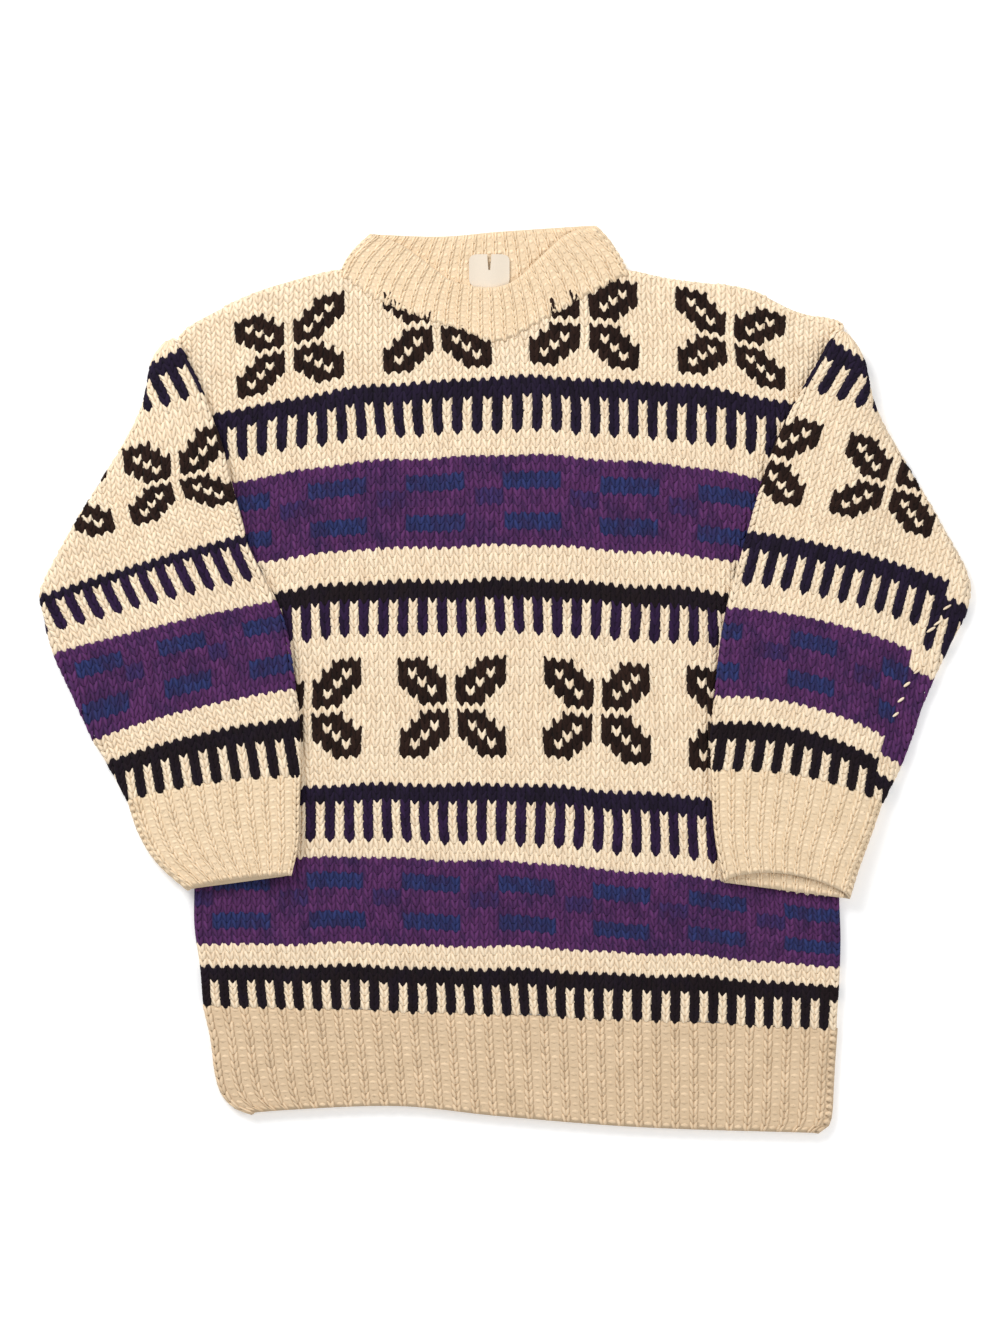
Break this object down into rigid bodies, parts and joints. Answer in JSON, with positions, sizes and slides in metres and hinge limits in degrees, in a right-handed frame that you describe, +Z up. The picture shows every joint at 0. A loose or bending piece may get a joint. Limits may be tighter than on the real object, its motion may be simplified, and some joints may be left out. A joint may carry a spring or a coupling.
{
  "type": "chunky knit sweater",
  "caption": "Drop-shouldered chunky knit pullover with colour-work bands, wide ribbed collar, ribbed hem and cuffs, laid flat with its sleeves folded down over the front",
  "frame": {"origin": "bottom centre of the garment's box, on the surface it lies on", "axes": "+X across the garment towards the sleeve on the right of the view, +Y from hem to collar, +Z up from the surface"},
  "size_m": [0.7773, 0.7642, 0.0198],
  "materials": {
    "knit_patterned": "hand-knit wool in stocking stitch, cream with navy, purple, blue and dark brown colour-work",
    "rib_cream": "hand-knit cream wool in 1x1 rib",
    "label": "bare white woven tape"
  },
  "bodies": {
    "root": {"back_panel": "knit_patterned", "front_panel": "knit_patterned", "back_hem": "rib_cream", "front_hem": "rib_cream", "left_sleeve": "knit_patterned", "right_sleeve": "knit_patterned", "left_cuff": "rib_cream", "right_cuff": "rib_cream", "collar": "rib_cream", "neck_label": "label"}
  },
  "joints": []
}
